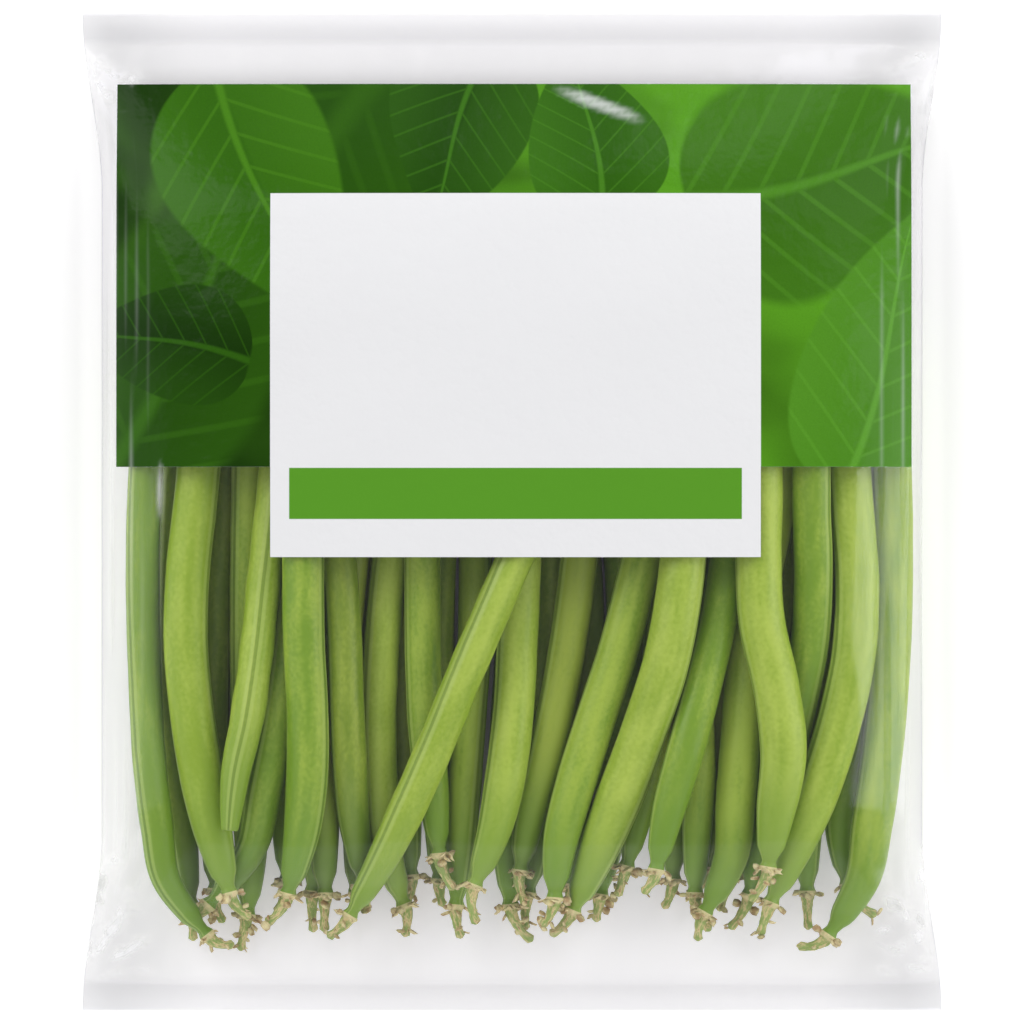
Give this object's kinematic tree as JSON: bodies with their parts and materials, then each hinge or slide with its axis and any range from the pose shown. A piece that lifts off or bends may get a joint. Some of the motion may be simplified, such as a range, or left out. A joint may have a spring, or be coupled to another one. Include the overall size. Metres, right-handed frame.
{
  "type": "green bean bundle",
  "caption": "Green beans lying side by side in a flat pillow bag of clear film with a printed band and a blank label panel, bag on its back.",
  "frame": {"origin": "on the table under the middle of the bag, which lies on its back", "axes": "+Z up out of the printed front, +Y along the bag from the stalk ends to the tips, +X to the right as the front is seen with +Y up"},
  "size_m": [0.1724, 0.2, 0.0298],
  "materials": {
    "film": "clear glossy",
    "bean_bright": "satin",
    "bean_mid": "satin",
    "bean_deep": "satin"
  },
  "bodies": {
    "root": {"film_bag": "film", "green_bean_01": "bean_deep", "green_bean_02": "bean_deep", "green_bean_03": "bean_mid", "green_bean_04": "bean_deep", "green_bean_05": "bean_mid", "green_bean_06": "bean_deep", "green_bean_07": "bean_deep", "green_bean_08": "bean_deep", "green_bean_09": "bean_mid", "green_bean_10": "bean_deep", "green_bean_11": "bean_deep", "green_bean_12": "bean_mid", "green_bean_13": "bean_deep", "green_bean_14": "bean_deep", "green_bean_15": "bean_mid", "green_bean_16": "bean_mid", "green_bean_17": "bean_deep", "green_bean_18": "bean_deep", "green_bean_19": "bean_mid", "green_bean_20": "bean_mid", "green_bean_21": "bean_deep", "green_bean_22": "bean_mid", "green_bean_23": "bean_mid", "green_bean_24": "bean_deep", "green_bean_25": "bean_mid", "green_bean_26": "bean_mid", "green_bean_27": "bean_mid", "green_bean_28": "bean_bright", "green_bean_29": "bean_mid", "green_bean_30": "bean_bright", "green_bean_31": "bean_bright", "green_bean_32": "bean_bright", "green_bean_33": "bean_mid", "green_bean_34": "bean_mid", "green_bean_35": "bean_mid", "green_bean_36": "bean_bright", "green_bean_37": "bean_mid", "green_bean_38": "bean_bright", "green_bean_39": "bean_bright", "green_bean_40": "bean_bright"}
  },
  "joints": []
}
